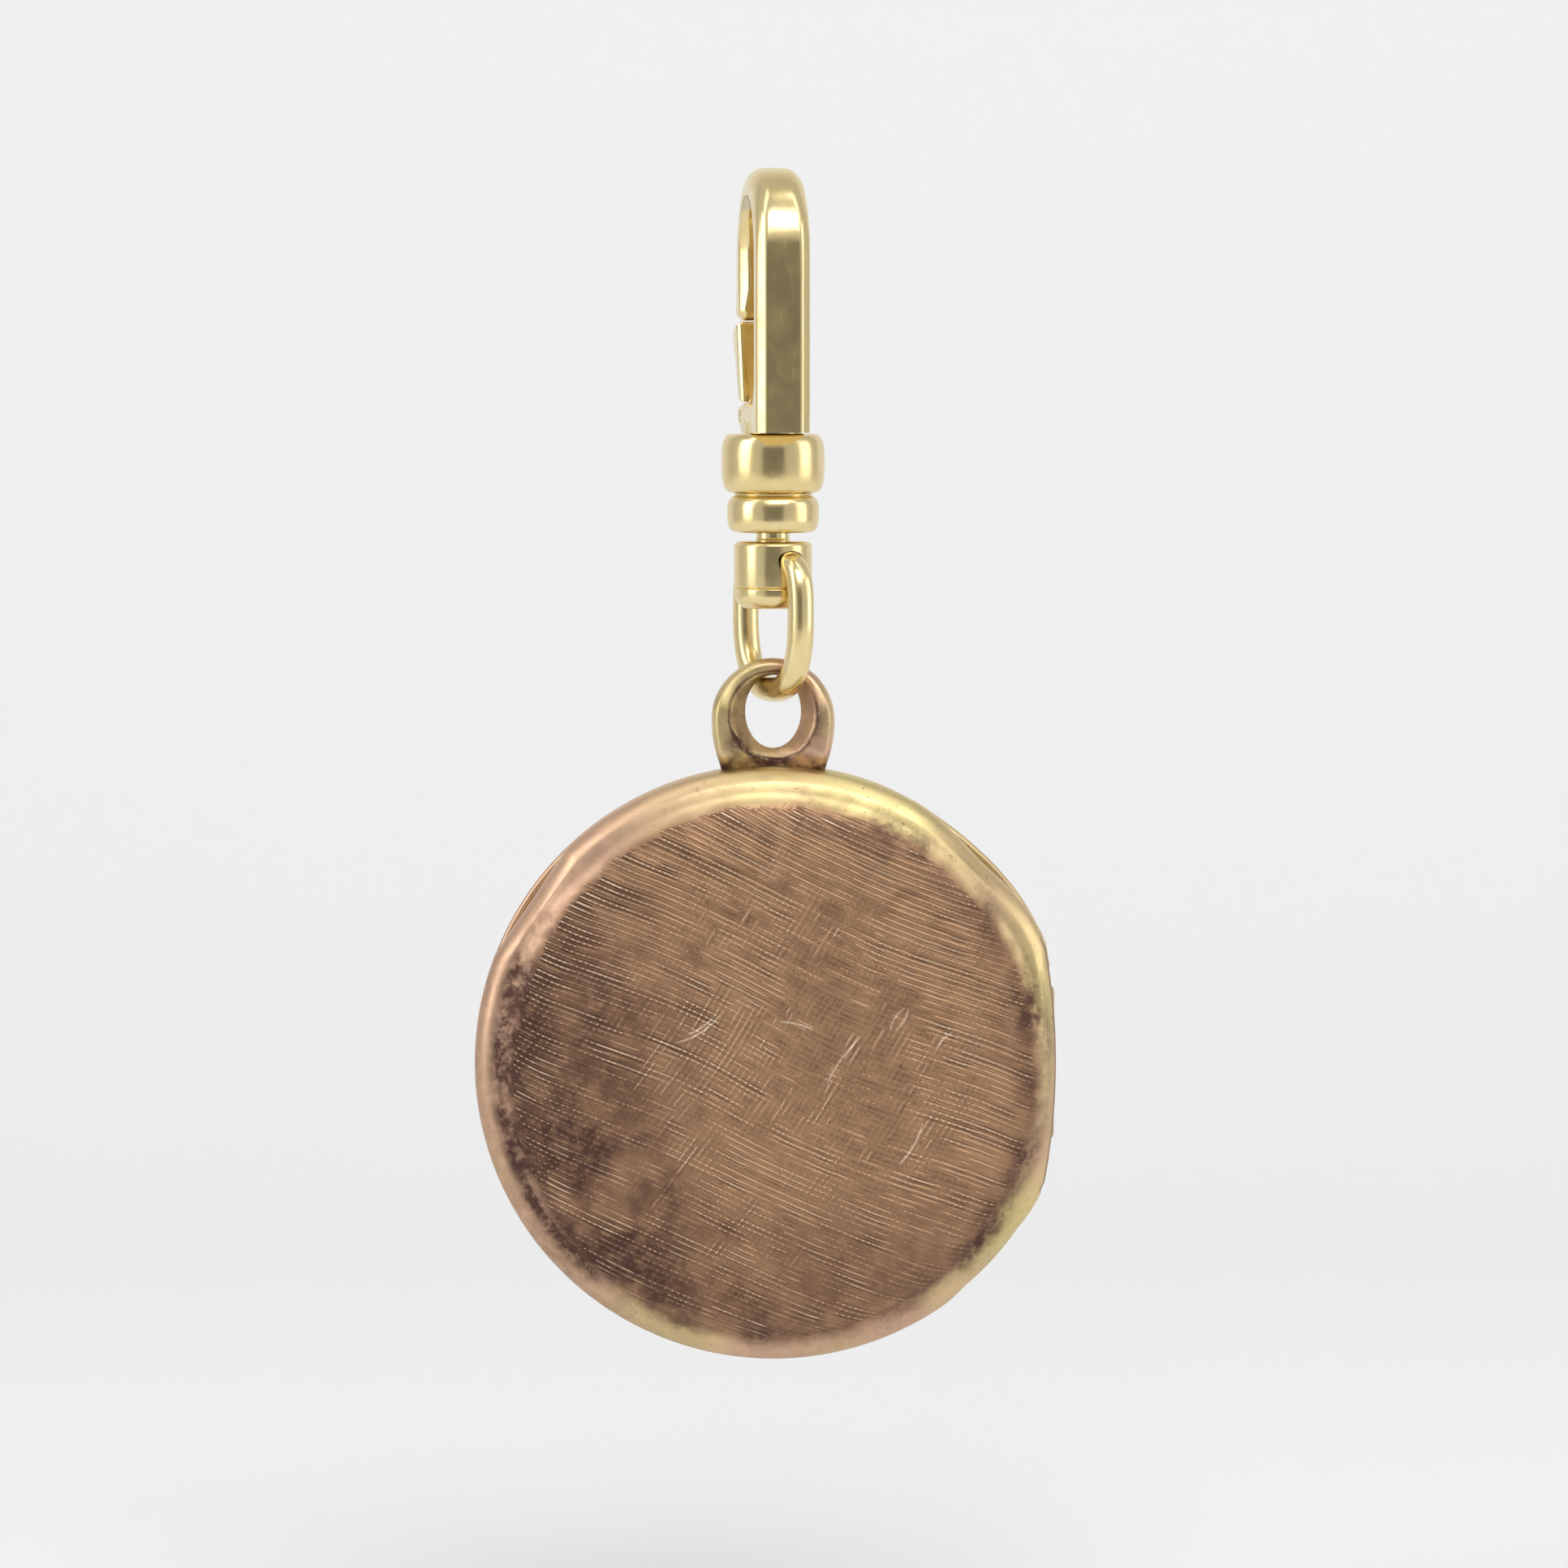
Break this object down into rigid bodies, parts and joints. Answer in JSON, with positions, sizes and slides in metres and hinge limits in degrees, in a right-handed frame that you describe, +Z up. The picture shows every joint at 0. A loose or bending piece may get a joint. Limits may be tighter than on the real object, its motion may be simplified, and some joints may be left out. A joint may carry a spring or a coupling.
{
  "type": "photo locket",
  "caption": "Round hinged photo locket with a cross-hatched cover, hanging by a bail and jump ring from a sprung swivel clasp.",
  "frame": {"origin": "inside top of the clasp's hook, where a chain bears on it", "axes": "+Z up along the hanging object, -Y out of the cross-hatched back cover, +X towards the locket's hinge"},
  "size_m": [0.0292, 0.0086, 0.0598],
  "materials": {
    "polished_gold": "polished pale yellow gold plating",
    "worn_gold": "worn rose-brown gold filling, cross-hatched on the covers and smooth on the rims",
    "inner_gold": "satin gold filling",
    "spring_steel": "bright drawn wire and strip",
    "celluloid": "clear thin sheet, lightly scuffed",
    "card": "matt cream card, blank"
  },
  "bodies": {
    "clasp": {"hook_body": "polished_gold", "gate_pin": "polished_gold", "gate_spring": "spring_steel", "upper_collar": "polished_gold", "lower_collar": "polished_gold", "swivel_washer": "spring_steel"},
    "gate": {"gate": "polished_gold"},
    "swivel": {"swivel_post": "polished_gold", "eye_drum": "polished_gold"},
    "ring": {"jump_ring": "polished_gold"},
    "case": {"bail": "worn_gold", "back_case": "worn_gold", "snap_rim": "inner_gold", "back_frame": "inner_gold", "back_window": "celluloid", "back_photo_card": "card", "back_knuckle_1": "worn_gold", "back_knuckle_3": "worn_gold", "back_knuckle_5": "worn_gold", "hinge_pin": "inner_gold"},
    "lid": {"front_lid": "worn_gold", "lid_frame": "inner_gold", "lid_window": "celluloid", "lid_photo_card": "card", "lid_knuckle_2": "worn_gold", "lid_knuckle_4": "worn_gold"}
  },
  "joints": [
    {"name": "gate_hinge", "type": "hinge", "parent": "clasp", "child": "gate", "pos_m": [-0.00033, 0.00233, -0.01055], "axis": [0.9903, 0.1392, 0], "range_deg": [0, 22], "stiffness_Nm_per_rad": 0.01, "springref_deg": -17.19},
    {"name": "swivel_spin", "type": "hinge", "parent": "clasp", "child": "swivel", "pos_m": [0, 0, -0.016], "axis": [0, 0, 1], "continuous": true},
    {"name": "ring_swing", "type": "hinge", "parent": "swivel", "child": "ring", "pos_m": [0, 0, -0.0177], "axis": [0.4848, -0.8746, 0], "range_deg": [-50, 50]},
    {"name": "locket_swing", "type": "hinge", "parent": "ring", "child": "case", "pos_m": [0, 0, -0.0242], "axis": [0.4848, -0.8746, 0], "range_deg": [-40, 40]},
    {"name": "lid_hinge", "type": "hinge", "parent": "case", "child": "lid", "pos_m": [0.01352, 0, -0.04298], "axis": [0, 0, -1], "range_deg": [0, 110]}
  ]
}
